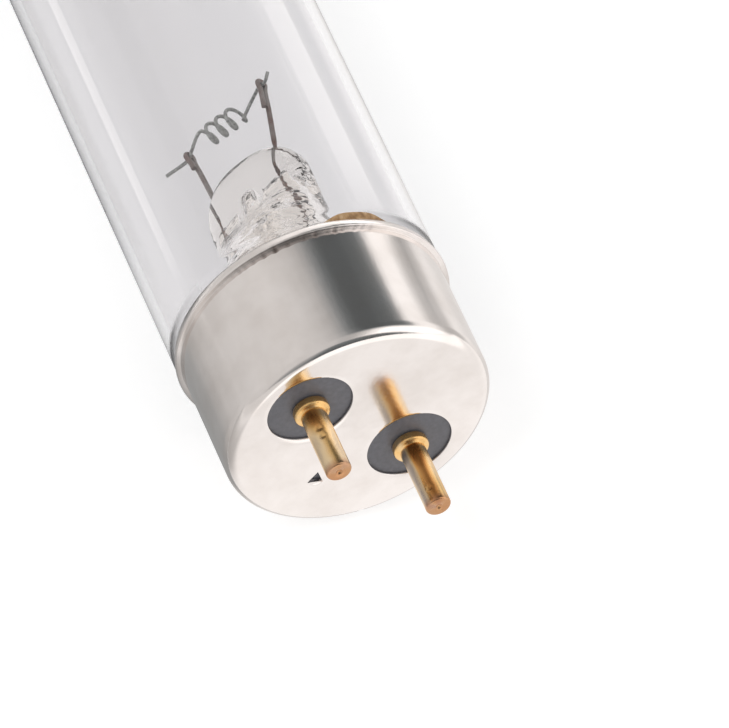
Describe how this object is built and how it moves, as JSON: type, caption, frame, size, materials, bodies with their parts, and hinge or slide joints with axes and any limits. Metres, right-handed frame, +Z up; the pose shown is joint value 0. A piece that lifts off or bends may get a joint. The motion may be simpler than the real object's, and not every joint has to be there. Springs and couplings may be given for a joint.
{
  "type": "germicidal lamp tube",
  "caption": "Clear-glass low-pressure discharge lamp tube with a two-pin aluminium cap, glass stem and coiled filament at each end.",
  "frame": {"origin": "under the middle of the lamp, on the surface that the two cap rims lie on", "axes": "+X along the lamp towards the near end, which is the end that the picture shows, +Z up"},
  "size_m": [0.4516, 0.0262, 0.0261],
  "materials": {
    "glass": "clear drawn soda-lime type glass that passes ultraviolet",
    "stem_glass": "clear fire-polished lead-type glass, pressed flat round the wires",
    "aluminium": "bright drawn sheet, softly polished",
    "cement": "cured brown basing cement",
    "insulator": "pressed dark grey phenolic",
    "brass": "turned brass, copper-coloured at the cut tip",
    "nickel": "nickelled wire, browned by heat",
    "copper": "copper-clad seal wire",
    "tungsten": "wound tungsten with a pale grey emitter coat",
    "mercury": "liquid metal bead"
  },
  "bodies": {
    "root": {"glass_tube": "glass", "mercury_drop": "mercury", "near_cap_shell": "aluminium", "near_cap_cement": "cement", "near_insulator": "insulator", "near_pin_a": "brass", "near_pin_b": "brass", "near_stem": "stem_glass", "near_lead_a": "nickel", "near_lead_b": "nickel", "near_seal_wire_a": "copper", "near_seal_wire_b": "copper", "near_filament": "tungsten", "far_cap_shell": "aluminium", "far_cap_cement": "cement", "far_insulator": "insulator", "far_pin_a": "brass", "far_pin_b": "brass", "far_stem": "stem_glass", "far_lead_a": "nickel", "far_lead_b": "nickel", "far_seal_wire_a": "copper", "far_seal_wire_b": "copper", "far_filament": "tungsten"}
  },
  "joints": []
}
